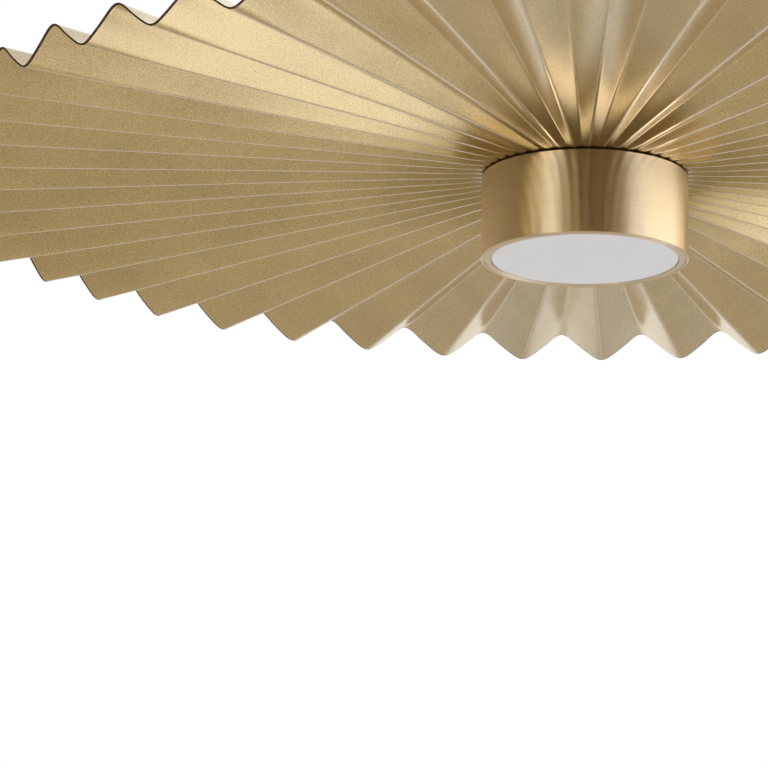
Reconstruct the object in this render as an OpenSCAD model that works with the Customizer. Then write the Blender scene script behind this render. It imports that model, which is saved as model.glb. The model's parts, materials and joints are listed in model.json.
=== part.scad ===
// Ceiling light: a pleated brass disc held between a ceiling canopy and a short drum-shaped LED head.
// The origin is the middle of the ceiling bracket's top face, on the ceiling, and +Z points up.

/* [Pleated shade] */
// Diameter of the pleated disc
shade_d = 600; // [400:10:800]
// Number of pleats round the disc
pleats = 47; // [36:1:60]
// Height of the pleats at the rim, from the lowest fold to the highest
pleat_depth = 13; // [6:0.5:18]
// Diameter of the sheet's flat middle, which drum and upper plate hold
flat_d = 84; // [60:1:92]
// How far the middle of the folds sinks from the flat to the rim
rim_droop = 1.1; // [0:0.1:6]
// Thickness of the pleated sheet
sheet_t = 0.8; // [0.5:0.1:1.5]
// Sharpness of the folds at the rim: 0 is a plain wave, 0.11 a zigzag
crease = 0.057; // [0:0.001:0.1]
// Sharpness of the folds inside the rim's soft band, where 1 is a true zigzag
inner_crease = 0.98; // [0.9:0.001:0.999]
// Width of the band inside the rim in which the sharp folds soften
soft_band = 50; // [20:1:120]
// How much narrower the upper folds are at the rim than the lower ones
fold_bias = 0.044; // [0:0.001:0.08]
// Angle of the first lower fold from the X axis
pleat_turn = 4.14; // [0:0.01:10]

/* [Head] */
// Diameter of the drum
head_d = 93.2; // [88:0.2:130]
// Height of the drum
head_h = 38.4; // [36:0.2:60]
// Wall of the drum
head_wall = 2; // [1.6:0.1:3]
// Wall of the drum's mouth, round the front ring
mouth_wall = 1.2; // [0.8:0.1:1.4]
// Thickness of the drum's top
head_top_t = 2; // [1.5:0.1:4]
// Chamfer on the drum's outer edges
head_chamfer = 0.4; // [0.1:0.1:0.8]

/* [Front ring and diffuser] */
// Diameter of the opening in the front ring
opening_d = 85; // [70:0.5:85]
// Height of the front ring
ring_h = 8.5; // [7.5:0.5:10]
// Wall of the ring's threaded skirt
skirt_wall = 1.3; // [1:0.1:1.4]
// Thickness of the ring's lip
lip_t = 1.6; // [1:0.1:2.4]
// Chamfer on the lip's lower edges
ring_chamfer = 0.25; // [0.1:0.05:0.4]
// Width of the diffuser's flange on the lip
flange_w = 1.5; // [1:0.1:1.5]
// Thickness of the diffuser's flange
flange_t = 1.4; // [1:0.1:2]
// Depth of the diffuser's face above the ring's lower face
face_recess = 0.35; // [0:0.05:0.8]

/* [LED module] */
// Height of the light chamber, from diffuser to board
chamber_h = 14; // [11:0.5:16]
// Thickness of the LED board
board_t = 1.6; // [1:0.1:2]
// Thickness of the heat spreader
spreader_t = 3; // [2:0.5:4]
// Radius of the circle of the module's screws
post_circle_r = 38.5; // [37.5:0.5:39.5]
// Diameter of the reflector's opening at the board
reflector_d = 64; // [58:1:66]
// Diameter of the hole for the cores in board and spreader
core_hole_d = 8; // [7:0.5:10]

/* [Fixing tube] */
// Outer diameter of the threaded tube
tube_d = 10; // [9:0.5:12]
// Bore of the threaded tube
tube_bore_d = 7; // [6.6:0.1:7.6]
// Width across the nuts' flats
nut_flats = 14; // [14:0.5:17]
// Height of a nut
nut_h = 4; // [3:0.5:6]
// Diameter of a washer
washer_d = 20; // [18:1:26]
// Thickness of a washer
washer_t = 1; // [0.8:0.1:2]
// Length of tube that stands out past each nut
tube_end = 3; // [1:0.5:4]

/* [Disc clamp] */
// Length of the sleeve between canopy and upper plate
spacer_h = 10; // [6:1:40]
// Diameter of the sleeve
spacer_d = 24; // [18:1:30]
// Diameter of the upper plate
plate_d = 72; // [50:1:90]
// Thickness of the upper plate
plate_t = 2; // [1:0.5:4]
// Diameter of the collar that centres the disc
bush_d = 21; // [16:1:30]
// Gap between the drum's edge and the lower folds
hub_lift = 0.4; // [0.3:0.1:4]

/* [Canopy] */
// Diameter of the canopy
canopy_d = 140; // [136:1:180]
// Height of the canopy
canopy_h = 40; // [38:1:60]
// Wall of the canopy
canopy_wall = 1.2; // [0.8:0.1:2]
// Outer radius of the canopy's lower edge
canopy_round = 6; // [3:0.5:8]

/* [Ceiling bracket] */
// Width of the bracket's strap
bracket_w = 22; // [16:1:30]
// Thickness of the strap
bracket_t = 2; // [1.5:0.5:3]
// Height of the bracket with its legs
leg_h = 16; // [15:1:20]
// Distance between the middles of the two slots
slot_spacing = 70; // [50:1:80]
// Length of a slot, end to end
slot_l = 16; // [8:1:24]
// Width of a slot
slot_w = 5.2; // [4.2:0.1:6.2]
// Diameter of the side screws
side_screw_d = 4; // [3:0.5:5]
// Depth of the side screws below the ceiling
side_screw_drop = 10; // [9:0.5:11]
// Diameter of a side screw's knurled head
knob_d = 10; // [8:0.5:14]
// Length of a side screw's knurled head
knob_l = 7; // [5:0.5:10]

/* [Terminal block] */
// Distance between poles
pole_pitch = 7; // [6.6:0.1:8]
// Length of the block, along its wires
block_l = 26; // [24:1:30]
// Height of the block
block_h = 14; // [13:0.5:16]
// Distance of the block's inner end from the tube's axis
block_near = 19; // [17:0.5:22]
// Width of a lever
lever_w = 4; // [3:0.1:5]
// Length of a lever from its pin
lever_l = 17; // [15:0.5:18]
// Diameter of the levers' pin
lever_pin_d = 2; // [1.5:0.1:2.4]

/* [Driver] */
// Length of the driver's case
driver_l = 88; // [70:1:88]
// Width of the driver's case
driver_w = 32; // [28:1:33]
// Height of the driver's case with its lid
driver_h = 21; // [16:1:22]
// Distance of the driver from the tube's axis
driver_near = 13; // [12:0.5:14]

/* [Wires] */
// Diameter of a mains or earth wire
wire_d = 2; // [1.4:0.1:2.4]
// Diameter of the LED cable
cable_d = 4.2; // [3.4:0.1:4.4]
// Diameter of one core of the LED cable
core_d = 1.4; // [1:0.1:1.6]

/* [Clearances] */
// Radial clearance of a piece that turns or screws in another
running = 0.08; // [0.03:0.01:0.1]
// Gap between loose pieces
loose = 0.3; // [0.2:0.05:0.5]

/* [Hidden] */
$fn = 96;
// Angles within one pleat at which the sheet has points, closer together at the folds
fold_angles = [0, 12, 30, 90, 150, 168, 180, 192, 210, 270, 330, 348];
shade_r = shade_d / 2;
flat_r = flat_d / 2;
head_r = head_d / 2;
canopy_r = canopy_d / 2;
bush_r = bush_d / 2;
collar_flange_w = 4;
shade_bore_r = bush_r + loose;

// Heights, from the ceiling down
floor_z = -canopy_h + canopy_wall;
plate_top_z = -canopy_h - spacer_h;
plate_z = plate_top_z - plate_t;
hub_z = plate_z - max([for (t = fold_angles) sheet_rise(plate_d / 2, t) - fold_drop(plate_d / 2, t)]);
head_top_z = hub_z - hub_lift - fold_drop(head_r, 0);
mouth_z = head_top_z - head_h;
flange_z = mouth_z + lip_t;
diffuser_top_z = flange_z + flange_t;
board_z = diffuser_top_z + chamber_h;
spreader_z = board_z + board_t;
post_z = spreader_z + spreader_t;
shoulder_z = mouth_z + ring_h + loose;

// Head
thread_r = head_r - mouth_wall;
head_bore_r = head_r - head_wall;
ring_r = thread_r - running;
opening_r = opening_d / 2;
ring_bore_r = ring_r - skirt_wall;
flange_r = opening_r + flange_w - loose;
lens_r = opening_r - loose;
board_r = post_circle_r + 3.5;
post_r = 3.2;
post_hole_l = 8;
module_screw_r = 1.5;
module_head_r = 2.8;
module_head_h = 2;
reflector_wall = 1;
reflector_flange_t = 1.2;
chip = [3.5, 2.8, 0.8];
chip_circles = [[8, 16], [14, 26.5]];
connector = [8, 7, 3];
connector_x = 8;

// Fixing tube
tube_r = tube_d / 2;
tube_hole_r = tube_r + running;
tube_top_z = floor_z + washer_t + nut_h + tube_end;
tube_bottom_z = head_top_z - head_top_t - washer_t - nut_h - tube_end;
bush_flange_t = 1;
bush_sleeve = 6;

// Bracket and side screws
leg_x = sqrt(pow(canopy_r - canopy_wall, 2) - pow(bracket_w / 2, 2)) - loose;
side_screw_r = side_screw_d / 2;
side_screw_past_leg = 2;
knurls = 20;
knurl_r = 0.5;

// Terminal block, whose wires run along Y and whose inner end faces the tube
block_w = 3 * pole_pitch + 2;
block_y = -block_near - block_l;
block_top_z = floor_z + block_h;
foot_l = 7;
foot_t = 2;
foot_screw_x = block_w / 2 + foot_l / 2;
lever_thick = 2.4;
lever_hub_r = 3;
lever_pin_y = -block_near - 5;
lever_pin_z = block_top_z - lever_hub_r - 0.4;
lever_pin_r = lever_pin_d / 2;
entry_r = 1.4;
entry_z = floor_z + 5.5;
entry_depth = 5;
clamp_depth = 8;
small_screw_r = 1.5;
small_head_r = 2.8;
small_head_h = 2;

// Driver
driver_y = driver_near + driver_w / 2;
lid_h = 6;
ear_l = 7;
ear_t = 2;
ear_screw_x = driver_l / 2 + ear_l / 2;
driver_wall = 1.5;
outlet_h = 9;
outlet_z = floor_z + outlet_h;
vent_l = 18;
vent_w = 2;
vent_pitch = 8;

// Earth
earth_x = 36;
earth_y = -26;
lug_t = 0.8;
lug_r = 4;
barrel_r = 1.8;
barrel_l = 5;
barrel_end_y = earth_y + lug_r + barrel_l - 0.5;

// Routes of the wires. Their points are chosen by hand between fixed ends
mains_outer_route = [
    [-pole_pitch, -block_near - entry_depth, entry_z], [-pole_pitch, -block_near + 1, entry_z],
    [-pole_pitch, -block_near + 4, entry_z],
    [-18, -8, entry_z + 2], [-38, -4, entry_z + 4], [-driver_l / 2 - 10, 10, entry_z + 6],
    [-driver_l / 2 - 11, driver_y - 4, entry_z + 5], [-driver_l / 2 - 6, driver_y + 4, outlet_z],
    [-driver_l / 2, driver_y + 4, outlet_z]
];
mains_inner_route = [
    [0, -block_near - entry_depth, entry_z], [0, -block_near + 1, entry_z], [0, -block_near + 3.5, entry_z],
    [-9, -11, entry_z + 7], [-24, -1, entry_z + 9], [-38, 3, entry_z + 9],
    [-driver_l / 2 - 6, 12, entry_z + 8], [-driver_l / 2 - 7, driver_y - 8, entry_z + 5],
    [-driver_l / 2 - 5, driver_y - 3, outlet_z], [-driver_l / 2, driver_y - 3, outlet_z]
];
earth_route = [
    [pole_pitch, -block_near - entry_depth, entry_z], [pole_pitch, -block_near + 1, entry_z],
    [pole_pitch, -block_near + 3.5, entry_z], [13, -10, entry_z], [24, -6, entry_z - 1],
    [earth_x - 3, -7, floor_z + 3], [earth_x, barrel_end_y + 6, floor_z + barrel_r],
    [earth_x, barrel_end_y, floor_z + barrel_r]
];
led_route = [
    [driver_l / 2, driver_y, outlet_z], [driver_l / 2 + 5, driver_y, outlet_z],
    [driver_l / 2 + 9, driver_y - 9, outlet_z + 2], [driver_l / 2 + 6, 8, outlet_z + 4],
    [36, 1, tube_top_z + 8], [14, 0, tube_top_z + 11], [3, 0, tube_top_z + 8],
    [0, 0, tube_top_z + 2], [0, 0, tube_top_z - 6], [0, 0, tube_bottom_z + 6],
    [0, 0, tube_bottom_z - 2]
];
core_z = board_z - connector[2] / 2;
core_offset = core_d / 2 + 0.3;

// Small helpers

function unit(v) = v / norm(v);

// One point of a Catmull-Rom curve between b and c
function spline_point(a, b, c, d, t) =
    ((2 * b) + (c - a) * t + (2 * a - 5 * b + 4 * c - d) * t * t + (3 * b - a - 3 * c + d) * t * t * t) / 2;

// A smooth curve through a route's points
function smooth(route, n) =
    let(last = len(route) - 1)
    concat(
        [for (i = [0 : last - 1], s = [0 : n - 1])
            spline_point(route[max(i - 1, 0)], route[i], route[i + 1], route[min(i + 2, last)], s / n)],
        [route[last]]
    );

// The direction of a route's curve at each of its points, square to the route's ends
function directions(curve, route) =
    let(last = len(curve) - 1, end = len(route) - 1)
    [for (i = [0 : last])
        i == 0 ? unit(route[1] - route[0]) :
        i == last ? unit(route[end] - route[end - 1]) :
        unit(curve[i + 1] - curve[i - 1])];

// A sideways direction carried along the curve without twist
function sideways(dirs, side, i = 0) =
    i == len(dirs) ? [] :
    let(next = unit(side - (side * dirs[i]) * dirs[i]))
    concat([next], sideways(dirs, next, i + 1));

// A round wire along a route
module wire(route, d, start_side = [0, 0, 1], sides = 8, n = 3) {
    curve = smooth(route, n);
    dirs = directions(curve, route);
    across = sideways(dirs, start_side);
    rings = len(curve);
    points = [for (i = [0 : rings - 1], k = [0 : sides - 1])
        let(a = k * 360 / sides)
        curve[i] + d / 2 * (cos(a) * across[i] + sin(a) * cross(dirs[i], across[i]))];
    walls = [for (i = [0 : rings - 2], k = [0 : sides - 1])
        let(a = i * sides + k, b = i * sides + (k + 1) % sides)
        [a, a + sides, b + sides, b]];
    ends = [[for (k = [0 : sides - 1]) k], [for (k = [sides - 1 : -1 : 0]) (rings - 1) * sides + k]];
    polyhedron(points, concat(walls, ends), convexity = 8);
}

// A round disc or sleeve standing on z
module sleeve(z, h, outer_r, inner_r) {
    translate([0, 0, z]) difference() {
        cylinder(h = h, r = outer_r);
        translate([0, 0, -1]) cylinder(h = h + 2, r = inner_r);
    }
}

// A pan head screw whose shank points down from z
module screw_down(z, shank_l, shank_r, cap_r, cap_h) {
    translate([0, 0, z]) difference() {
        union() {
            cylinder(h = cap_h, r = cap_r);
            translate([0, 0, -shank_l]) cylinder(h = shank_l + 0.1, r = shank_r);
        }
        for (turn = [0, 90])
            rotate([0, 0, turn]) translate([-cap_r * 0.6, -0.3, cap_h / 2])
                cube([cap_r * 1.2, 0.6, cap_h]);
    }
}

// A hexagon nut on the tube, standing on z
module tube_nut(z) {
    translate([0, 0, z]) difference() {
        cylinder(h = nut_h, r = nut_flats / sqrt(3), $fn = 6);
        translate([0, 0, -1]) cylinder(h = nut_h + 2, r = tube_hole_r);
    }
}

// Ceiling bracket and canopy

module slot(l, w, h) {
    translate([-(l - w) / 2, 0, 0]) cylinder(h = h, d = w);
    translate([(l - w) / 2, 0, 0]) cylinder(h = h, d = w);
    translate([-(l - w) / 2, -w / 2, 0]) cube([l - w, w, h]);
}

module ceiling_bracket() {
    color("silver") difference() {
        union() {
            translate([-leg_x, -bracket_w / 2, -bracket_t]) cube([2 * leg_x, bracket_w, bracket_t]);
            for (side = [-1, 1])
                translate([side * (leg_x - bracket_t / 2) - bracket_t / 2, -bracket_w / 2, -leg_h])
                    cube([bracket_t, bracket_w, leg_h]);
        }
        for (side = [-1, 1]) {
            translate([side * slot_spacing / 2, 0, -bracket_t - 1]) slot(slot_l, slot_w, bracket_t + 2);
            translate([side * (leg_x + 1), 0, -side_screw_drop]) rotate([0, -side * 90, 0])
                cylinder(h = bracket_t + 2, r = side_screw_r + running);
        }
    }
}

// Outline of a spun cup of outer radius r, with a rounded lower edge
module cup_outline(r, h, round) {
    translate([0, -h + round]) square([r, h - round]);
    translate([0, -h]) square([r - round, round + 0.1]);
    translate([r - round, -h + round]) circle(r = round);
}

module canopy() {
    color("darkgoldenrod") difference() {
        rotate_extrude() difference() {
            cup_outline(canopy_r, canopy_h, canopy_round);
            translate([0, 1]) cup_outline(canopy_r - canopy_wall, canopy_h - canopy_wall + 1,
                canopy_round - canopy_wall);
            translate([-canopy_r, -2 * canopy_h]) square([canopy_r, 3 * canopy_h]);
        }
        translate([0, 0, -canopy_h - 1]) cylinder(h = canopy_wall + 2, r = tube_hole_r);
        for (side = [-1, 1]) {
            translate([0, 0, -side_screw_drop]) rotate([0, side * 90, 0])
                cylinder(h = canopy_r + 1, r = side_screw_r + loose);
            translate([side * foot_screw_x, block_y + block_l / 2, -canopy_h - 1])
                cylinder(h = canopy_wall + 2, r = small_screw_r + running);
            translate([side * ear_screw_x, driver_y, -canopy_h - 1])
                cylinder(h = canopy_wall + 2, r = small_screw_r + running);
        }
        translate([earth_x, earth_y, -canopy_h - 1])
            cylinder(h = canopy_wall + 2, r = small_screw_r + running);
    }
}

// A knurled screw through the canopy's wall into the bracket's leg; side is -1 or 1
module side_screw(side) {
    shank_l = canopy_r + loose - leg_x + bracket_t + side_screw_past_leg;
    translate([side * (canopy_r + loose), 0, -side_screw_drop]) rotate([0, side * 90, 0]) {
        linear_extrude(knob_l) difference() {
            circle(d = knob_d);
            for (k = [0 : knurls - 1])
                rotate(k * 360 / knurls) translate([knob_d / 2 + knurl_r / 2, 0])
                    circle(r = knurl_r, $fn = 24);
        }
        translate([0, 0, -shank_l]) cylinder(h = shank_l + 0.1, r = side_screw_r);
    }
}

module side_screw_left() color("gold") side_screw(-1);

module side_screw_right() color("gold") side_screw(1);

// Terminal block

module terminal_block() {
    color("white") difference() {
        union() {
            translate([-block_w / 2, block_y, floor_z]) cube([block_w, block_l, block_h]);
            translate([-block_w / 2 - foot_l, block_y + block_l / 2 - foot_l / 2, floor_z])
                cube([block_w + 2 * foot_l, foot_l, foot_t]);
        }
        for (pole = [-1 : 1]) {
            // room for the lever and its hub
            translate([pole * pole_pitch - lever_w / 2 - loose, block_y - 1, lever_pin_z + loose])
                cube([lever_w + 2 * loose, lever_pin_y + lever_hub_r + loose - block_y + 1, block_h]);
            translate([pole * pole_pitch - lever_w / 2 - loose, lever_pin_y, lever_pin_z]) rotate([0, 90, 0])
                cylinder(h = lever_w + 2 * loose, r = lever_hub_r + loose);
            // wire holes at both ends
            translate([pole * pole_pitch, block_y - 1, entry_z]) rotate([-90, 0, 0])
                cylinder(h = clamp_depth + 1, r = entry_r);
            translate([pole * pole_pitch, -block_near - entry_depth, entry_z]) rotate([-90, 0, 0])
                cylinder(h = entry_depth + 1, r = entry_r);
        }
        translate([-block_w / 2 - 1, lever_pin_y, lever_pin_z]) rotate([0, 90, 0])
            cylinder(h = block_w + 2, r = lever_pin_r + running / 2);
        for (side = [-1, 1])
            translate([side * foot_screw_x, block_y + block_l / 2, floor_z - 1])
                cylinder(h = foot_t + 2, r = small_screw_r + running);
    }
}

// A lever that lies in its slot and opens upwards about the pin
module terminal_lever(pole) {
    translate([pole * pole_pitch - lever_w / 2, lever_pin_y, lever_pin_z])
        rotate([90, 0, 90]) linear_extrude(lever_w) difference() {
            union() {
                circle(r = lever_hub_r);
                translate([-lever_l, lever_hub_r - lever_thick]) square([lever_l, lever_thick]);
                translate([-lever_l, lever_hub_r]) square([lever_thick, 1.2]);
            }
            circle(r = lever_pin_r + running);
        }
}

module terminal_lever_live() color("orange") terminal_lever(-1);

module terminal_lever_neutral() color("orange") terminal_lever(0);

module terminal_lever_earth() color("orange") terminal_lever(1);

module lever_pin() {
    color("silver") translate([-block_w / 2, lever_pin_y, lever_pin_z]) rotate([0, 90, 0])
        cylinder(h = block_w, r = lever_pin_r);
}

module block_screws() {
    color("silver") for (side = [-1, 1])
        translate([side * foot_screw_x, block_y + block_l / 2, 0])
            screw_down(floor_z + foot_t, foot_t + canopy_wall, small_screw_r, small_head_r, small_head_h);
}

// LED driver

module driver_case() {
    color("whitesmoke") difference() {
        union() {
            translate([-driver_l / 2, driver_near, floor_z]) cube([driver_l, driver_w, driver_h - lid_h]);
            translate([-driver_l / 2 - ear_l, driver_y - ear_l / 2, floor_z])
                cube([driver_l + 2 * ear_l, ear_l, ear_t]);
        }
        translate([-driver_l / 2 + driver_wall, driver_near + driver_wall, floor_z + driver_wall])
            cube([driver_l - 2 * driver_wall, driver_w - 2 * driver_wall, driver_h]);
        for (side = [-1, 1])
            translate([side * ear_screw_x, driver_y, floor_z - 1])
                cylinder(h = ear_t + 2, r = small_screw_r + running);
    }
}

module driver_lid() {
    lid_z = floor_z + driver_h - lid_h;
    color("lightgray") difference() {
        union() {
            translate([-driver_l / 2, driver_near, lid_z]) cube([driver_l, driver_w, lid_h]);
            translate([-driver_l / 2 + driver_wall + loose, driver_near + driver_wall + loose, lid_z - 2])
                cube([driver_l - 2 * driver_wall - 2 * loose, driver_w - 2 * driver_wall - 2 * loose, 3]);
        }
        translate([-driver_l / 2 + 2 * driver_wall, driver_near + 2 * driver_wall, lid_z - 3])
            cube([driver_l - 4 * driver_wall, driver_w - 4 * driver_wall, lid_h + 3 - driver_wall]);
        for (k = [-3 : 3])
            translate([k * vent_pitch - vent_w / 2, driver_y - vent_l / 2, lid_z + 1])
                cube([vent_w, vent_l, lid_h]);
    }
}

module driver_screws() {
    color("silver") for (side = [-1, 1])
        translate([side * ear_screw_x, driver_y, 0])
            screw_down(floor_z + ear_t, ear_t + canopy_wall, small_screw_r, small_head_r, small_head_h);
}

// Wires

module mains_leads() {
    color("saddlebrown") wire(mains_outer_route, wire_d);
    color("royalblue") wire(mains_inner_route, wire_d);
}

module earth_lead() color("yellowgreen") wire(earth_route, wire_d);

module earth_lug() {
    color("tan") difference() {
        union() {
            translate([earth_x, earth_y, floor_z]) cylinder(h = lug_t, r = lug_r);
            translate([earth_x - barrel_r, earth_y, floor_z]) cube([2 * barrel_r, lug_r + 1, lug_t]);
            translate([earth_x, barrel_end_y, floor_z + barrel_r]) rotate([90, 0, 0])
                cylinder(h = barrel_l, r = barrel_r);
        }
        translate([earth_x, earth_y, floor_z - 1]) cylinder(h = lug_t + 2, r = small_screw_r + running);
    }
}

module earth_screw() {
    color("silver") translate([earth_x, earth_y, 0])
        screw_down(floor_z + lug_t, lug_t + canopy_wall, small_screw_r, small_head_r, small_head_h);
}

module led_cable() color("white") wire(led_route, cable_d, n = 3);

module led_cores() {
    color("red") for (side = [-1, 1])
        translate([0, side * core_offset, 0])
            wire([
                [0, 0, tube_bottom_z - 2], [0, 0, tube_bottom_z - 6], [0, 0, spreader_z],
                [1, 0, core_z + 2], [4, 0, core_z], [connector_x, 0, core_z]
            ], core_d, start_side = [0, 1, 0]);
}

// Fixing tube and what it clamps

module fixing_tube() {
    color("goldenrod") sleeve(tube_bottom_z, tube_top_z - tube_bottom_z, tube_r, tube_bore_d / 2);
}

module tube_bush() {
    color("white") difference() {
        union() {
            translate([0, 0, tube_top_z]) cylinder(h = bush_flange_t, r = tube_r);
            translate([0, 0, tube_top_z - bush_sleeve])
                cylinder(h = bush_sleeve + 0.1, r = tube_bore_d / 2 - running);
        }
        translate([0, 0, tube_top_z - bush_sleeve - 1])
            cylinder(h = bush_sleeve + bush_flange_t + 2, r = cable_d / 2 + loose);
    }
}

module canopy_washer() color("silver") sleeve(floor_z, washer_t, washer_d / 2, tube_hole_r);

module canopy_nut() color("goldenrod") tube_nut(floor_z + washer_t);

module spacer() color("goldenrod") sleeve(-canopy_h - spacer_h, spacer_h, spacer_d / 2, tube_hole_r);

module upper_plate() color("silver") sleeve(plate_z, plate_t, plate_d / 2, tube_hole_r);

// The collar through the disc's hole, with a thin flange that keeps the sheet off the drum
module shade_bush() {
    color("gray") difference() {
        union() {
            translate([0, 0, head_top_z]) cylinder(h = plate_z - head_top_z, r = bush_r);
            translate([0, 0, head_top_z]) cylinder(h = hub_z - head_top_z, r = bush_r + collar_flange_w);
        }
        translate([0, 0, head_top_z - 1]) cylinder(h = plate_z - head_top_z + 2, r = tube_hole_r);
    }
}

// The pleated disc. From its flat middle the folds run straight out and deepen with the radius

// How far the folds have grown at radius r: 0 on the flat, 1 at the rim
function growth(r) = max(0, r - flat_r) / (shade_r - flat_r);

// Share of the zigzag in the folds at radius r; the rest is the rim's softer wave
function sharp(r) = max(0, min(1, (shade_r - r) / soft_band));

// Depth of the wave and of the zigzag at angle t of one pleat, most at 0, the lower fold
function wave(t) = (cos(t) - fold_bias * cos(2 * t) + crease * cos(3 * t)) / (1 + crease);
function zigzag(t) = asin(inner_crease * cos(t)) / asin(inner_crease);

// Their slopes, with the angle in radians
function wave_slope(t) = (-sin(t) + 2 * fold_bias * sin(2 * t) - 3 * crease * sin(3 * t)) / (1 + crease);
function zigzag_slope(t) =
    -inner_crease * sin(t) / sqrt(1 - pow(inner_crease * cos(t), 2)) * 180 / PI / asin(inner_crease);

// How far the sheet's lower side lies below the flat at radius r and pleat angle t
function fold_drop(r, t) =
    growth(r) * (rim_droop + pleat_depth / 2 * (sharp(r) * zigzag(t) + (1 - sharp(r)) * wave(t)));

// Height from the sheet's lower side to its upper side, more on the folds' flanks
function sheet_rise(r, t) =
    let(turned = sharp(r) * zigzag_slope(t) + (1 - sharp(r)) * wave_slope(t),
        slope = growth(r) * pleat_depth / 2 * turned * pleats / r)
    sheet_t * sqrt(1 + slope * slope);

module pleated_shade() {
    steps = len(fold_angles);
    n = pleats * steps;
    radii = [shade_bore_r, flat_r, shade_r - soft_band, shade_r];
    // rings of the closed skin, out along the sheet's lower side and back along its upper side
    skin = concat([for (r = radii) [r, 0]], [for (k = [1 : len(radii)]) [radii[len(radii) - k], 1]]);
    points = [for (ring = skin, pleat = [0 : pleats - 1], t = fold_angles)
        let(a = pleat_turn + (pleat + t / 360) * 360 / pleats,
            z = hub_z - fold_drop(ring[0], t) + ring[1] * sheet_rise(ring[0], t))
        [ring[0] * cos(a), ring[0] * sin(a), z]];
    faces = [for (j = [0 : len(skin) - 1], i = [0 : n - 1], half = [0, 1])
        let(next = (j + 1) % len(skin),
            a = j * n + i, b = j * n + (i + 1) % n,
            c = next * n + i, d = next * n + (i + 1) % n)
        half == 0 ? [a, b, d] : [a, d, c]];
    color("darkgoldenrod") polyhedron(points, faces, convexity = 20);
}

// LED head

module head_housing() {
    color("goldenrod") difference() {
        union() {
            difference() {
                rotate_extrude() polygon([
                    [0, mouth_z], [head_r - head_chamfer, mouth_z], [head_r, mouth_z + head_chamfer],
                    [head_r, head_top_z - head_chamfer], [head_r - head_chamfer, head_top_z], [0, head_top_z]
                ]);
                translate([0, 0, mouth_z - 1])
                    cylinder(h = head_h - head_top_t + 1, r = head_bore_r);
                translate([0, 0, mouth_z - 1]) cylinder(h = shoulder_z - mouth_z + 1, r = thread_r);
            }
            for (k = [0 : 2])
                rotate([0, 0, 90 + k * 120]) translate([post_circle_r, 0, post_z])
                    cylinder(h = head_top_z - head_top_t - post_z + 0.1, r = post_r);
        }
        translate([0, 0, head_top_z - head_top_t - 1]) cylinder(h = head_top_t + 2, r = tube_hole_r);
        for (k = [0 : 2])
            rotate([0, 0, 90 + k * 120]) translate([post_circle_r, 0, post_z - 1])
                cylinder(h = post_hole_l + 1, r = module_screw_r + running);
    }
}

module head_washer() {
    color("silver") sleeve(head_top_z - head_top_t - washer_t, washer_t, washer_d / 2, tube_hole_r);
}

module head_nut() color("goldenrod") tube_nut(head_top_z - head_top_t - washer_t - nut_h);

// The holes that spreader, board and reflector share
module module_holes(z, h) {
    for (k = [0 : 2])
        rotate([0, 0, 90 + k * 120]) translate([post_circle_r, 0, z - 1])
            cylinder(h = h + 2, r = module_screw_r + running);
}

module heat_spreader() {
    color("silver") difference() {
        translate([0, 0, spreader_z]) cylinder(h = spreader_t, r = head_bore_r - loose);
        translate([0, 0, spreader_z - 1]) cylinder(h = spreader_t + 2, d = core_hole_d);
        module_holes(spreader_z, spreader_t);
    }
}

module led_board() {
    color("white") difference() {
        translate([0, 0, board_z]) cylinder(h = board_t, r = board_r);
        translate([0, 0, board_z - 1]) cylinder(h = board_t + 2, d = core_hole_d);
        module_holes(board_z, board_t);
    }
}

module led_chips() {
    color("khaki") for (circle = chip_circles, k = [0 : circle[0] - 1])
        rotate([0, 0, (k + 0.5) * 360 / circle[0]])
            translate([circle[1] - chip[0] / 2, -chip[1] / 2, board_z - chip[2]]) cube(chip);
}

module board_connector() {
    color("white") difference() {
        translate([connector_x, -connector[1] / 2, board_z - connector[2]]) cube(connector);
        for (side = [-1, 1])
            translate([connector_x + connector[0] - 2, side * core_offset, core_z])
                rotate([0, 90, 0]) cylinder(h = 3, r = core_d / 2);
    }
}

module module_screws() {
    z = board_z - reflector_flange_t;
    color("silver") for (k = [0 : 2])
        rotate([0, 0, 90 + k * 120]) translate([post_circle_r, 0, z]) mirror([0, 0, 1])
            screw_down(0, reflector_flange_t + board_t + spreader_t + post_hole_l - 1, module_screw_r,
                module_head_r, module_head_h);
}

module reflector() {
    low_r = flange_r - loose;
    top_r = reflector_d / 2;
    low_z = diffuser_top_z + loose;
    color("white") difference() {
        rotate_extrude() polygon([
            [low_r - reflector_wall, low_z], [low_r, low_z],
            [top_r + reflector_wall, board_z - reflector_flange_t],
            [board_r, board_z - reflector_flange_t], [board_r, board_z], [top_r, board_z]
        ]);
        module_holes(board_z - reflector_flange_t, reflector_flange_t);
    }
}

module diffuser() {
    round = 0.8;
    face_z = mouth_z + face_recess;
    color("ghostwhite") rotate_extrude() {
        translate([0, face_z + round]) square([lens_r, flange_z - face_z - round + flange_t / 2]);
        translate([0, face_z]) square([lens_r - round, round + 0.1]);
        translate([lens_r - round, face_z + round]) circle(r = round);
        translate([0, flange_z]) square([flange_r, flange_t]);
    }
}

module front_ring() {
    color("goldenrod") rotate_extrude() polygon([
        [opening_r + ring_chamfer, mouth_z], [ring_r - ring_chamfer, mouth_z],
        [ring_r, mouth_z + ring_chamfer], [ring_r, mouth_z + ring_h],
        [ring_bore_r, mouth_z + ring_h], [ring_bore_r, flange_z],
        [opening_r, flange_z], [opening_r, mouth_z + ring_chamfer]
    ]);
}

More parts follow.
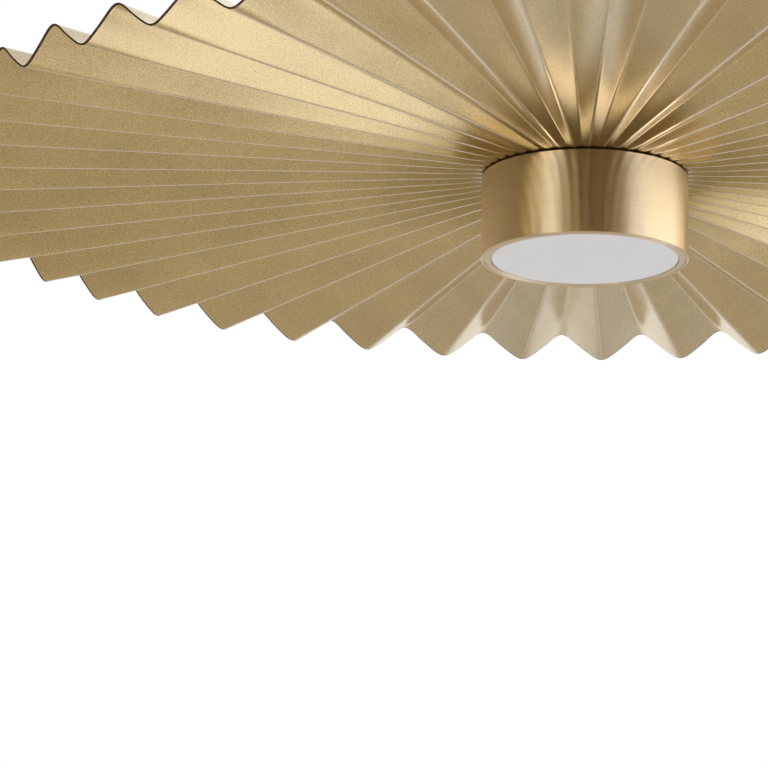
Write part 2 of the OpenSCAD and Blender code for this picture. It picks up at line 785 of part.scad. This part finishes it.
ceiling_bracket();
canopy();
side_screw_left();
side_screw_right();
terminal_block();
terminal_lever_live();
terminal_lever_neutral();
terminal_lever_earth();
lever_pin();
block_screws();
driver_case();
driver_lid();
driver_screws();
mains_leads();
earth_lead();
earth_lug();
earth_screw();
led_cable();
led_cores();
fixing_tube();
tube_bush();
canopy_nut();
canopy_washer();
spacer();
upper_plate();
shade_bush();
pleated_shade();
head_housing();
head_nut();
head_washer();
heat_spreader();
led_board();
led_chips();
board_connector();
module_screws();
reflector();
diffuser();
front_ring();
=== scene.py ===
"""A pleated brass ceiling light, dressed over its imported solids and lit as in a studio."""

import json
import math

import bpy
import numpy as np
from mathutils import Matrix, Vector


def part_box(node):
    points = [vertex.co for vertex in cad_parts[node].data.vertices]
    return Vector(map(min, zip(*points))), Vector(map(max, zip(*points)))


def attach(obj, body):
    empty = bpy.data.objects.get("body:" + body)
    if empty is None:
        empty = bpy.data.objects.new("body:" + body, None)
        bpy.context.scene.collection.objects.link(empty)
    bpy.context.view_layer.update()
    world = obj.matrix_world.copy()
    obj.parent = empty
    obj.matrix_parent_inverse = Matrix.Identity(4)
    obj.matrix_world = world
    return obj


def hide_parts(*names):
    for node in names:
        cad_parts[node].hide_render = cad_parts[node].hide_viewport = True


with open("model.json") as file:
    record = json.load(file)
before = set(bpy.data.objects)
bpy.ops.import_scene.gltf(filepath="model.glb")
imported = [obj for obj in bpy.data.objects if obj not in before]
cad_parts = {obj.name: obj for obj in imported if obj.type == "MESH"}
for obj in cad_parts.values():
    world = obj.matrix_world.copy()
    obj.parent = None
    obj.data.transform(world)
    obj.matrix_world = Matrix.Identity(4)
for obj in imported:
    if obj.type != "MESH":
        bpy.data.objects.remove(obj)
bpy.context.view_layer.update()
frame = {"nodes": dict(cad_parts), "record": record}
cad = frame["nodes"]
scene = bpy.context.scene
MM = 0.001

# Camera, at the photograph's viewing angle. Its height is taken from the drum's top

CAMERA_AT = (0.0008, -2.3192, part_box("head_housing")[1].z - 0.6873)
YAW, PITCH, ROLL = -0.03897, 0.24951, -0.0109
LENS_MM, SENSOR_MM = 251.18, 36


def make_camera():
    """A camera that looks along the yaw and pitch, with its picture turned by the roll"""
    ahead = Vector((math.sin(YAW), math.cos(YAW), 0))
    level = Vector((math.cos(YAW), -math.sin(YAW), 0))
    forward = math.cos(PITCH) * ahead + math.sin(PITCH) * Vector((0, 0, 1))
    tilted = -math.sin(PITCH) * ahead + math.cos(PITCH) * Vector((0, 0, 1))
    right = math.cos(ROLL) * level - math.sin(ROLL) * tilted
    up = math.sin(ROLL) * level + math.cos(ROLL) * tilted
    data = bpy.data.cameras.new("camera")
    data.lens, data.sensor_width = LENS_MM, SENSOR_MM
    data.clip_start, data.clip_end = 0.1, 100
    camera = bpy.data.objects.new("camera", data)
    turn = Matrix((right, up, -forward)).transposed().to_4x4()
    camera.matrix_world = Matrix.Translation(CAMERA_AT) @ turn
    scene.collection.objects.link(camera)
    scene.camera = camera


make_camera()


# Makers of nodes, with the two places on a pattern between which its tones change

SOFT, CRISP = (0.3, 0.7), (0.35, 0.65)


class Nodes:
    """Makes the nodes of one material or world tree"""

    def __init__(self, tree):
        self.tree = tree
        tree.nodes.clear()

    def add(self, kind, inputs=None, out=0, **props):
        """A new node, of which it gives the output with that number, or the node if it has none"""
        made = self.tree.nodes.new(kind)
        for key, value in props.items():
            setattr(made, key, value)
        for key, value in (inputs or {}).items():
            self.put(made.inputs[key], value)
        return made.outputs[out] if made.outputs else made

    def put(self, socket, value):
        """Links the input to the value where that is another node's output, and otherwise sets it"""
        if isinstance(value, bpy.types.NodeSocket):
            self.tree.links.new(value, socket)
        else:
            socket.default_value = value

    def math(self, operation, a, b):
        return self.add("ShaderNodeMath", {0: a, 1: b}, operation=operation)

    def measure(self, operation, a, b=(0, 0, 0)):
        """A number worked out from vectors, such as a length"""
        return self.add("ShaderNodeVectorMath", {0: a, 1: b}, out=1, operation=operation)

    def stretched(self, vector, scale):
        return self.add("ShaderNodeVectorMath", {0: vector, 1: scale}, operation="MULTIPLY")

    def axes(self, vector):
        """The vector's x, y and z"""
        return self.add("ShaderNodeSeparateXYZ", {0: vector}).node.outputs

    def ramp(self, value, start, end, low=0.0, high=1.0, **props):
        """low where the value is at the start or under it, high where it is at the end or over it"""
        return self.add("ShaderNodeMapRange", {"Value": value, "From Min": start, "From Max": end,
                                               "To Min": low, "To Max": high}, **props)

    def between(self, pattern, low, high):
        return self.ramp(pattern, *SOFT, low, high)

    def blend(self, fine, slow, share):
        """The fine pattern, with this share of the slow one in it"""
        kept = self.math("MULTIPLY", fine, 1 - share)
        return self.math("ADD", kept, self.math("MULTIPLY", slow, share))

    def mix(self, factor, first, second, blend="MIX"):
        """Two colours mixed. Sockets 6, 7 and 2 are the ones that the node keeps for colours"""
        return self.add("ShaderNodeMix", {0: factor, 6: first, 7: second}, out=2,
                        data_type="RGBA", blend_type=blend)

    def colours(self, factor, stops):
        """The colours of the stops, each a place from 0 to 1 and a colour, and what lies between them"""
        ramp = self.tree.nodes.new("ShaderNodeValToRGB")
        self.tree.links.new(factor, ramp.inputs["Fac"])
        elements = ramp.color_ramp.elements
        while len(elements) < len(stops):
            elements.new(0.5)
        for element, (place, colour) in zip(elements, stops):
            element.position = place
            element.color = (*colour, 1)
        return ramp.outputs["Color"]

    def tones(self, pattern, dark, light, places=SOFT):
        return self.colours(pattern, list(zip(places, (dark, light))))

    def seen(self, path, share):
        """1 for the camera, the share for a mirrored or refracted view, and 0 for other light"""
        through = self.math("MAXIMUM", path["Is Glossy Ray"], path["Is Transmission Ray"])
        return self.math("MAXIMUM", path["Is Camera Ray"], self.math("MULTIPLY", through, share))


class Surface(Nodes):
    """Makes one material, on its object coordinates"""

    def __init__(self, name):
        self.material = bpy.data.materials.new(name)
        self.material.use_nodes = True
        super().__init__(self.material.node_tree)
        self.shader = self.tree.nodes.new("ShaderNodeBsdfPrincipled")
        self.output = self.add("ShaderNodeOutputMaterial", {"Surface": self.shader.outputs[0]})
        self.place = self.add("ShaderNodeTexCoord", out=3)

    def noise(self, scale, detail=2.0, rough=0.5, at=None, w=None):
        """Noise over the surface, or at other coordinates, of which w is a fourth"""
        inputs = {"Vector": self.place if at is None else at, "Scale": scale,
                  "Detail": detail, "Roughness": rough}
        if w is not None:
            inputs["W"] = w
        return self.add("ShaderNodeTexNoise", inputs, noise_dimensions="3D" if w is None else "4D")

    def bump(self, height, strength, distance):
        return self.add("ShaderNodeBump", {
            "Strength": strength, "Distance": distance, "Height": height})

    def finish(self, inputs):
        """Gives the shader its inputs, and hands over the material"""
        for key, value in inputs.items():
            self.put(self.shader.inputs[key], value)
        return self.material


def shades(colour, spread):
    """The colour, darker and lighter by the spread"""
    return [tuple(min(1.0, part * factor) for part in colour) for factor in (1 - spread, 1 + spread)]


# Kinds of surface. A metal's painted shade round the drum fades out between the radii of this band

DRUM_SHADE_BAND = (50 * MM, 130 * MM)


def sanded_metal(name, colour, rough, grain=2000.0, spread=0.23, depth=0.03 * MM, inner=None):
    """Satin metal with a fine sandy grain and slow changes of tone; inner paints shade round the middle
    """
    paint = Surface(name)
    sand = paint.noise(grain, detail=3)
    both = paint.blend(sand, paint.noise(22.0, detail=3), share=0.18)
    tone = paint.tones(both, *shades(colour, spread), CRISP)
    # painted shade: the tone is multiplied by inner round the drum, fading out over the band
    if inner:
        radius = paint.measure("LENGTH", paint.stretched(paint.place, (1, 1, 0)))
        share = paint.ramp(radius, *DRUM_SHADE_BAND, low=1.0, high=0.0, interpolation_type="SMOOTHSTEP")
        tone = paint.mix(share, tone, (*inner, 1), "MULTIPLY")
    return paint.finish({
        "Base Color": tone, "Metallic": 1.0,
        "Roughness": paint.between(both, rough - 0.04, rough + 0.05),
        "Normal": paint.bump(sand, 0.5, depth)})


def turned_metal(name, colour, rough, anisotropy, lines=2200.0, spread=0.08, depth=0.006 * MM):
    """Metal brushed round the vertical axis, so its reflections stretch across the lines"""
    paint = Surface(name)
    flat = paint.stretched(paint.place, (1, 1, 0))
    radius = paint.measure("LENGTH", flat)
    height = paint.math("MULTIPLY", paint.axes(paint.place)[2], lines)
    along = paint.add("ShaderNodeVectorMath", {
        0: paint.stretched(flat, (22, 22, 22)),
        1: paint.add("ShaderNodeCombineXYZ", {2: height})}, operation="ADD")
    outward = paint.math("MULTIPLY", radius, lines)
    brushing = paint.noise(1.0, detail=3, rough=0.6, at=along, w=outward)
    both = paint.blend(brushing, paint.noise(30.0), share=0.2)
    return paint.finish({
        "Base Color": paint.tones(both, *shades(colour, spread)), "Metallic": 1.0,
        "Roughness": paint.between(both, rough - 0.03, rough + 0.05),
        "Normal": paint.bump(brushing, 0.35, depth),
        "Anisotropic": anisotropy, "Anisotropic Rotation": 0.25,
        "Tangent": paint.add("ShaderNodeTangent", direction_type="RADIAL", axis="Z")})


def plastic(name, colour, rough=0.4, grain=900.0, depth=0.02 * MM, spread=0.04):
    """Moulded plastic with a fine eroded texture"""
    paint = Surface(name)
    skin = paint.noise(grain)
    return paint.finish({
        "Base Color": paint.tones(paint.noise(40.0), *shades(colour, spread)),
        "Roughness": paint.between(skin, rough - 0.05, rough + 0.05),
        "Normal": paint.bump(skin, 0.4, depth)})


def opal():
    """Opal diffuser, a translucent white plastic with a satin face"""
    paint = Surface("opal")
    skin = paint.noise(1200.0)
    return paint.finish({
        "Base Color": paint.tones(paint.noise(14.0), (0.90, 0.915, 0.93), (0.925, 0.94, 0.955)),
        "Roughness": paint.between(skin, 0.42, 0.5),
        "Normal": paint.bump(skin, 0.25, 0.01 * MM),
        "Subsurface Weight": 0.3, "Subsurface Radius": (4 * MM, 4 * MM, 4 * MM)})


def phosphor():
    """Yellow silicone over the LED dies"""
    paint = Surface("led_phosphor")
    grain = paint.noise(2500.0)
    return paint.finish({
        "Base Color": paint.tones(grain, (0.82, 0.62, 0.12), (0.90, 0.74, 0.22)),
        "Roughness": 0.35, "Coat Weight": 0.4,
        "Normal": paint.bump(grain, 0.3, 0.02 * MM)})


def painted_rim_shade():
    """The sheet's cut rim, painted dark as shade and dark reflection"""
    paint = Surface("painted_rim_shade")
    rim_noise = paint.noise(900.0)
    return paint.finish({
        "Base Color": paint.tones(rim_noise, (0.10, 0.05, 0.033), (0.21, 0.115, 0.075), CRISP),
        "Metallic": 1.0, "Roughness": paint.between(rim_noise, 0.4, 0.55),
        "Normal": paint.bump(rim_noise, 0.4, 0.04 * MM)})


def painted_highlight():
    """Painted highlight: the folds made paler and smoother, standing in for their glints"""
    paint = Surface("painted_highlight")
    highlight_noise = paint.noise(600.0, detail=3)
    return paint.finish({
        "Base Color": paint.tones(highlight_noise, (0.90, 0.78, 0.57), (0.96, 0.85, 0.66), CRISP),
        "Metallic": 0.85, "Roughness": paint.between(highlight_noise, 0.13, 0.19),
        "Normal": paint.bump(highlight_noise, 0.3, 0.02 * MM)})


# Materials: one for each of the record's slots, and two more: painted shade at the rim, highlight on
# folds

MATERIALS = {
    # the pleated sheet gets painted shade round the drum, where inner darkens its tone
    "pleated_brass": sanded_metal(
        "pleated_brass", (0.81, 0.64, 0.365), 0.24, spread=0.28, inner=(0.6, 0.56, 0.43)),
    "brushed_brass": turned_metal("brushed_brass", (0.92, 0.75, 0.50), 0.31, 0.85),
    "ring_brass": turned_metal("ring_brass", (0.95, 0.80, 0.62), 0.33, 0.6),
    "turned_brass": turned_metal("turned_brass", (0.83, 0.63, 0.33), 0.3, 0.5),
    "canopy_brass": turned_metal("canopy_brass", (0.80, 0.64, 0.38), 0.36, 0.6),
    "steel": sanded_metal("steel", (0.62, 0.62, 0.63), 0.32, grain=800.0, spread=0.06),
    "aluminium": sanded_metal("aluminium", (0.80, 0.81, 0.82), 0.4, grain=1100.0, spread=0.05),
    "tinned_metal": sanded_metal("tinned_metal", (0.74, 0.74, 0.72), 0.3, grain=900.0, spread=0.06),
    "white_plastic": plastic("white_plastic", (0.80, 0.80, 0.78)),
    "driver_plastic": plastic("driver_plastic", (0.74, 0.75, 0.74), 0.45),
    "lever_plastic": plastic("lever_plastic", (0.86, 0.30, 0.05), 0.35),
    "board_white": plastic("board_white", (0.82, 0.83, 0.82), 0.3, grain=400.0, depth=0.01 * MM),
    "wire_brown": plastic("wire_brown", (0.16, 0.075, 0.035), 0.42),
    "wire_green": plastic("wire_green", (0.16, 0.42, 0.06), 0.42),
    "wire_red": plastic("wire_red", (0.55, 0.03, 0.025), 0.42),
    "cable_white": plastic("cable_white", (0.78, 0.78, 0.76), 0.45),
    "opal": opal(),
    "led_phosphor": phosphor(),
    "painted_rim_shade": painted_rim_shade(),
    "painted_highlight": painted_highlight(),
}

for row in frame["record"]["subparts"]:
    piece = cad[row["node"]]
    piece.data.materials.clear()
    piece.data.materials.append(MATERIALS[row["material_slot"]])


# Meshes made here

def new_object(name, mesh_name, points, faces, *materials):
    """An object with a mesh of these points and faces, in the scene"""
    mesh = bpy.data.meshes.new(mesh_name)
    mesh.from_pydata(points, [], faces)
    for material in materials:
        mesh.materials.append(material)
    mesh.update()
    made = bpy.data.objects.new(name, mesh)
    scene.collection.objects.link(made)
    return made


def wrapped_faces(rows, count):
    """Faces over equal rows of points, closed along the rows and from the last row to the first"""
    faces = []
    for j in range(rows):
        k = (j + 1) % rows
        for i in range(count):
            n = (i + 1) % count
            faces.append((j * count + i, j * count + n, k * count + n, k * count + i))
    return faces


# The pleated disc, on the formula that gives its solid, with round folds and a round cut rim,
# painted pale on the folds as highlights and dark at the rim as shade

# the disc and its sheet, whose flat middle has its underside at SHEET_Z
PLEATS, PLEAT_TURN = 47, math.radians(4.14)
SHADE_R, FLAT_R, HOLE_R = 300 * MM, 42 * MM, 10.8 * MM
DROOP, DEPTH, SHEET = 1.1 * MM, 13 * MM, 0.8 * MM
SHEET_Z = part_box("upper_plate")[0].z - SHEET

# the wave of the rim, the zigzag inside it, and how wide the change to each side of the zigzag is
CREASE, BIAS, INNER_CREASE = 0.057, 0.044, 0.98
SOFT_BAND, SOFT_MIDDLE = 50 * MM, 30 * MM

# the added depth of the lower folds near the drum, where the press starts them
START_R, START_DEPTH, START_RISE, START_FADE = 47 * MM, 0.5 * MM, 12 * MM, 35 * MM

# points round one pleat, and how closely those of a flank crowd towards its folds
STEPS, CROWDING = 40, 0.36

# the strip that is pressed flat on each fold, and painted pale there as a highlight: the steps over half
# of it, half its width on lower and upper folds, the way over which it reaches that, and its least share
# in the middle and at the rim
STRIP_STEPS, LOWER_STRIP, UPPER_STRIP, STARTED_OVER = 3, 0.55 * MM, 0.16 * MM, 30 * MM
LEAST_STRIP, RIM_STRIP = 0.1, 0.3

# the rim: its rounding, the bands beside it, painted dark as shade and pale as a highlight, and its
# points as the share of the rounding that they lie inside the edge and their share of the thickness
EDGE, RIM_SHADE_BAND, BRIGHT_BAND = 0.22 * MM, 0.8 * MM, 0.35 * MM
ROUND_RIM = ((0.4, 0.08), (0.1, 0.27), (0.1, 0.73), (0.4, 0.92))

# rows of points over the soft start, over the zigzag and over the soft rim
START_ROWS, INNER_ROWS, SOFT_ROWS = 6, 7, 9

# the sheet's materials, in the order in which its mesh holds them
BRASS, RIM_SHADE, HIGHLIGHT = 0, 1, 2


def growth(r):
    """The pleats' share of their full depth at this radius"""
    return max(0.0, r - FLAT_R) / (SHADE_R - FLAT_R)


def fold_form(r, t):
    """Depth of the folds from -1 to 1, and its slope: a zigzag, softer at the rim and in the middle"""
    sharp = max(0.0, min(1.0, (SHADE_R - r) / SOFT_BAND, (r - FLAT_R) / SOFT_MIDDLE))
    wave = np.cos(t) - BIAS * np.cos(2 * t) + CREASE * np.cos(3 * t)
    wave_slope = -np.sin(t) + 2 * BIAS * np.sin(2 * t) - 3 * CREASE * np.sin(3 * t)
    soft = (1 - sharp) / (1 + CREASE)
    zigzag = np.arcsin(INNER_CREASE * np.cos(t))
    zigzag_slope = -INNER_CREASE * np.sin(t) / np.sqrt(1 - (INNER_CREASE * np.cos(t)) ** 2)
    hard = sharp / math.asin(INNER_CREASE)
    return hard * zigzag + soft * wave, hard * zigzag_slope + soft * wave_slope


def start_drop(r):
    """How much deeper the lower folds are near the drum, where the press starts them"""
    rise = min(1.0, max(0.0, (r - START_R) / START_RISE))
    fade = math.exp(-max(0.0, r - START_R - START_RISE) / START_FADE)
    return START_DEPTH * rise * rise * (3 - 2 * rise) * fade


def pleat_steps(r):
    """Angles round each pleat in turn, and the angle whose depth each has: the folds are flat strips"""
    at_rim = RIM_STRIP + (1 - RIM_STRIP) * (SHADE_R - r) / SOFT_BAND
    started = min(1.0, max(LEAST_STRIP, (r - FLAT_R) / STARTED_OVER), at_rim)
    lower = started * LOWER_STRIP * PLEATS / r
    upper = started * UPPER_STRIP * PLEATS / r
    flank = np.linspace(0, 1, STEPS // 2 - 2 * STRIP_STEPS + 1)
    flank = flank - CROWDING / math.pi * np.sin(2 * math.pi * flank)
    half = np.concatenate([
        np.linspace(0, lower, STRIP_STEPS + 1)[:-1],
        lower + (math.pi - lower - upper) * flank,
        np.linspace(math.pi - upper, math.pi, STRIP_STEPS + 1)[1:]])
    t = np.tile(np.concatenate([half, 2 * math.pi - half[-2:0:-1]]), PLEATS)
    return t, np.clip(np.arccos(np.cos(t)), lower, math.pi - upper)


def sheet_row(r, share):
    """Points round the sheet at this radius and share of its thickness, from the underside up"""
    t, held = pleat_steps(r)
    turn = PLEAT_TURN + (np.repeat(np.arange(PLEATS), STEPS) * 2 * math.pi + t) / PLEATS
    form, slope = fold_form(r, held)
    steep = (growth(r) * DEPTH / 2 + start_drop(r) / 2) * slope * PLEATS / r
    z = (SHEET_Z - growth(r) * (DROOP + DEPTH / 2 * form) - start_drop(r) * (1 + form) / 2
         + share * SHEET * np.sqrt(1 + steep ** 2))
    return np.stack([r * np.cos(turn), r * np.sin(turn), z], axis=1)


def row_radii():
    """Radii of the rows on either side of the sheet, from the hole out to the rounding"""
    soft_from, bright_from = SHADE_R - SOFT_BAND, SHADE_R - EDGE - RIM_SHADE_BAND - BRIGHT_BAND
    start = np.linspace(FLAT_R, FLAT_R + SOFT_MIDDLE, START_ROWS)
    inner = np.linspace(FLAT_R + SOFT_MIDDLE, soft_from, INNER_ROWS)[1:]
    soft = np.linspace(soft_from, bright_from, SOFT_ROWS)[1:]
    rim = (SHADE_R - EDGE - RIM_SHADE_BAND, SHADE_R - EDGE)
    return [HOLE_R, 0.5 * (HOLE_R + FLAT_R), *start, *inner, *soft, *rim]


def sheet_kinds(radii, side_rows):
    """Each face's material: painted shade at the rim, painted highlight on the folds and beside the rim
    """
    step = np.arange(PLEATS * STEPS) % (STEPS // 2)
    on_fold = np.minimum(step, STEPS // 2 - 1 - step) < STRIP_STEPS
    kinds = np.full((len(radii), PLEATS * STEPS), BRASS)
    pleated = np.minimum(radii, np.roll(radii, -1)) >= FLAT_R
    # painted highlight on the flat strips of the folds
    kinds[np.outer(pleated, on_fold)] = HIGHLIGHT
    # painted highlight: the row of faces just inside the dark band at the rim
    kinds[side_rows - 3] = HIGHLIGHT
    # painted shade: the rim's rounding and the band under it are dark
    kinds[side_rows - 2:side_rows + len(ROUND_RIM)] = RIM_SHADE
    return kinds.ravel().tolist()


def make_shade():
    """The sheet's skin in one mesh: the underside, the round rim and the upper side"""
    radii = row_radii()
    rim = [(SHADE_R - inside * EDGE, share) for inside, share in ROUND_RIM]
    skin = [(r, 0.0) for r in radii] + rim + [(r, 1.0) for r in reversed(radii)]
    points = np.concatenate([sheet_row(r, share) for r, share in skin])
    sheet = new_object(
        "pleated_sheet", "pleated_sheet", points.tolist(), wrapped_faces(len(skin), PLEATS * STEPS),
        MATERIALS["pleated_brass"], MATERIALS["painted_rim_shade"], MATERIALS["painted_highlight"])
    faces = sheet.data.polygons
    faces.foreach_set("material_index", sheet_kinds([r for r, _ in skin], len(radii)))
    faces.foreach_set("use_smooth", [True] * len(faces))
    sheet.data.update()
    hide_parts("pleated_shade")
    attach(sheet, "fixture")


make_shade()


# The front ring, with its face grooves and the thread on its skirt

RING_R, RING_BORE, OPENING_R = 45.32 * MM, 44.02 * MM, 42.5 * MM
RING_H, LIP, CHAMFER = 8.5 * MM, 1.6 * MM, 0.25 * MM
GROOVES, GROOVE_HALF, GROOVE_DEEP = (43.3 * MM, 44.0 * MM, 44.7 * MM), 0.16 * MM, 0.12 * MM
THREAD_PITCH, THREAD_DEEP = 2 * MM, 0.4 * MM
THREAD_FROM, THREAD_TO, THREAD_ROWS = 2.2 * MM, 8.1 * MM, 48
RING_STEPS = 288


def ring_profile():
    """The ring's section as radius and height, from the lip's bore over the face and up the skirt"""
    face = [(OPENING_R, LIP), (OPENING_R, CHAMFER), (OPENING_R + CHAMFER, 0)]
    for r in GROOVES:
        face += [(r - GROOVE_HALF, 0), (r, GROOVE_DEEP), (r + GROOVE_HALF, 0)]
    face += [(RING_R - CHAMFER, 0), (RING_R, CHAMFER), (RING_R, THREAD_FROM)]
    skirt = [(RING_R, z) for z in np.linspace(THREAD_FROM, THREAD_TO, THREAD_ROWS)[1:-1]]
    back = [(RING_R, THREAD_TO), (RING_R - CHAMFER, RING_H), (RING_BORE, RING_H), (RING_BORE, LIP)]
    return face + skirt + back


def thread_depth(r, z, turn):
    """How deep the thread is cut at this height and share of a turn. It runs out at its ends"""
    if r != RING_R or not THREAD_FROM < z < THREAD_TO:
        return 0.0
    along = (z / THREAD_PITCH - turn) % 1.0
    ends = min(1.0, (z - THREAD_FROM) / THREAD_PITCH, (THREAD_TO - z) / (THREAD_PITCH / 2))
    return THREAD_DEEP * ends * (1 - abs(2 * along - 1))


def make_ring():
    """The ring's section, carried round the axis, with the thread cut into its skirt"""
    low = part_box("front_ring")[0].z
    profile = ring_profile()
    points = []
    for k in range(RING_STEPS):
        turn = k / RING_STEPS
        way = (math.cos(2 * math.pi * turn), math.sin(2 * math.pi * turn))
        for r, z in profile:
            cut = r - thread_depth(r, z, turn)
            points.append((cut * way[0], cut * way[1], low + z))
    ring = new_object("threaded_ring", "ring_mesh", points, wrapped_faces(RING_STEPS, len(profile)),
                      MATERIALS["ring_brass"])
    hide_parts("front_ring")
    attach(ring, "front_ring")


make_ring()


# Studio lights, which face the middle of the drum

LIT_AT = Vector((0, 0, -75 * MM))


def soft_light(name, azimuth, elevation, distance, size, radiance, colour, mirrored=True):
    """A panel of this width and height that faces the drum. Azimuth 0 is the camera's side"""
    a, e = math.radians(azimuth), math.radians(elevation)
    away = Vector((math.sin(a) * math.cos(e), -math.cos(a) * math.cos(e), math.sin(e)))
    data = bpy.data.lights.new(name, "AREA")
    data.shape, data.size, data.size_y = "RECTANGLE", *size
    data.energy = radiance * math.pi * size[0] * size[1]
    data.color = colour
    light = bpy.data.objects.new(name, data)
    light.location = LIT_AT + away * distance
    light.rotation_mode = "QUATERNION"
    light.rotation_quaternion = (-away).to_track_quat("-Z", "Y")
    light.visible_camera = False
    light.visible_glossy = mirrored
    scene.collection.objects.link(light)


soft_light("right_softbox", azimuth=84, elevation=-10, distance=1.7, size=(2.5, 1.5),
           radiance=1.4, colour=(1.0, 1.1, 1.36))
soft_light("low_right_softbox", azimuth=137, elevation=-49, distance=1.3, size=(0.6, 0.55),
           radiance=0.68, colour=(0.96, 1.02, 1.16))
soft_light("left_softbox", azimuth=-37, elevation=-12, distance=2.0, size=(0.6, 2.2),
           radiance=1.95, colour=(0.99, 1.04, 1.08))
soft_light("high_softbox", azimuth=180, elevation=44, distance=1.95, size=(2.0, 2.0),
           radiance=0.18, colour=(0.9, 1.03, 1.45))
soft_light("fill_from_below", azimuth=0, elevation=-89, distance=1.5, size=(2.6, 2.6),
           radiance=0.5, colour=(0.92, 1.0, 1.1), mirrored=False)


# The room: its walls from the camera's side to the far side, and its ceiling from left to right

WALLS = ((0.0, (0.035, 0.024, 0.01)), (0.25, (0.065, 0.047, 0.022)), (0.5, (0.37, 0.32, 0.25)),
         (0.75, (0.44, 0.42, 0.39)), (1.0, (0.45, 0.44, 0.43)))
CEILING = ((0.0, (0.16, 0.15, 0.13)), (1.0, (0.85, 0.82, 0.76)))

# a ray's x at the ceiling's two ends, and its z where the ceiling begins and where it is full
CEILING_REACH, CEILING_FROM, CEILING_TO = 0.8, 0.12, 0.4

# the way to the backdrop, and a ray's cosine to that way where the backdrop begins and is full
BACKDROP_WAY, BACKDROP_IN = (-0.04, 0.97, 0.24), (0.885, 0.95)


def make_world():
    """White behind the object, in a studio that is darker on the camera's side"""
    world = bpy.data.worlds.new("studio")
    world.use_nodes = True
    scene.world = world
    tree = Nodes(world.node_tree)
    way = tree.add("ShaderNodeTexCoord")
    x, y, z = tree.axes(way)
    path = tree.add("ShaderNodeLightPath").node.outputs
    walls = tree.colours(tree.ramp(y, -1.0, 1.0), WALLS)
    # a pale ceiling over the object, seen only in its metal
    ceiling = tree.colours(tree.ramp(x, -CEILING_REACH, CEILING_REACH), CEILING)
    high = tree.ramp(z, CEILING_FROM, CEILING_TO)
    studio = tree.mix(tree.math("MULTIPLY", path["Is Glossy Ray"], high), walls, ceiling)
    # the white backdrop that the camera sees, in the mirrored and refracted view as well
    facing = tree.measure("DOT_PRODUCT", way, BACKDROP_WAY)
    backdrop = tree.ramp(facing, *BACKDROP_IN)
    shown = tree.mix(tree.seen(path, backdrop), studio, (1, 1, 1, 1))
    back = tree.add("ShaderNodeBackground", {"Color": shown, "Strength": 1.0})
    tree.add("ShaderNodeOutputWorld", {"Surface": back})


# Floor: half its width, its height, and the distances where its fading begins and is full

FLOOR_HALF, FLOOR_Z, FLOOR_FADE = 5.0, -1.6, (1.5, 4.8)

# its glow for the camera, and the y where that begins and is full in metal and glass, and its share
GLOW, GLOW_COLOUR = 0.55, (1, 0.95, 0.86, 1)
BEHIND_FROM, BEHIND_TO, BEHIND_SHARE = -0.7, 1.2, 0.34


def make_floor():
    """A plain pale floor. It fades into the white round it, and a camera below it looks through"""
    paint = Surface("floor_paint")
    path = paint.add("ShaderNodeLightPath").node.outputs
    # it glows for the camera, and in metal and glass where it lies behind the object
    behind = paint.ramp(paint.axes(paint.place)[1], BEHIND_FROM, BEHIND_TO, high=BEHIND_SHARE)
    material = paint.finish({
        "Base Color": paint.tones(paint.noise(3.0), (0.76, 0.67, 0.51), (0.78, 0.69, 0.53)),
        "Roughness": 0.7, "Emission Color": GLOW_COLOUR,
        "Emission Strength": paint.math("MULTIPLY", paint.seen(path, behind), GLOW)})
    faded = paint.ramp(paint.measure("LENGTH", paint.place), *FLOOR_FADE)
    from_below = paint.add("ShaderNodeNewGeometry").node.outputs["Backfacing"]
    clear = paint.math("MAXIMUM", from_below, paint.math("MULTIPLY", faded, path["Is Camera Ray"]))
    glass = paint.add("ShaderNodeBsdfTransparent")
    mixed = paint.add("ShaderNodeMixShader", {0: clear, 1: paint.shader.outputs[0], 2: glass})
    paint.put(paint.output.inputs["Surface"], mixed)
    half, z = FLOOR_HALF, FLOOR_Z
    corners = [(-half, -half, z), (half, -half, z), (half, half, z), (-half, half, z)]
    floor = new_object("floor", "floor", corners, [(0, 1, 2, 3)], material)


make_world()
make_floor()
scene.view_settings.view_transform = "Standard"

bpy.context.view_layer.update()
